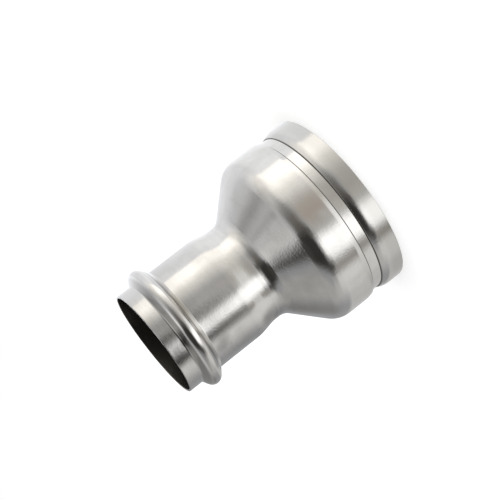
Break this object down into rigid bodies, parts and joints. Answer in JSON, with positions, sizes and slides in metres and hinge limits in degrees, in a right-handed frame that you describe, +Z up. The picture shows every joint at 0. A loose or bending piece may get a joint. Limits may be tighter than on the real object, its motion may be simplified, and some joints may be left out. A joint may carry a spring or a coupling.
{
  "type": "grooved by press pipe reducer",
  "caption": "Thin-walled stainless pipe reducer with a rolled coupling groove at its large end and a beaded press socket with a rubber seal at its small end.",
  "frame": {"origin": "centre of the large end's face, on which the fitting stands", "axes": "+Z up the common axis, from the grooved large end to the press socket"},
  "size_m": [0.1148, 0.1148, 0.1428],
  "materials": {
    "stainless_steel": "pickled and finely brushed, satin with broad soft reflections",
    "seal_rubber": "moulded black EPDM, lightly greased"
  },
  "bodies": {
    "root": {"reducer_body": "stainless_steel", "sealing_ring": "seal_rubber"}
  },
  "joints": []
}
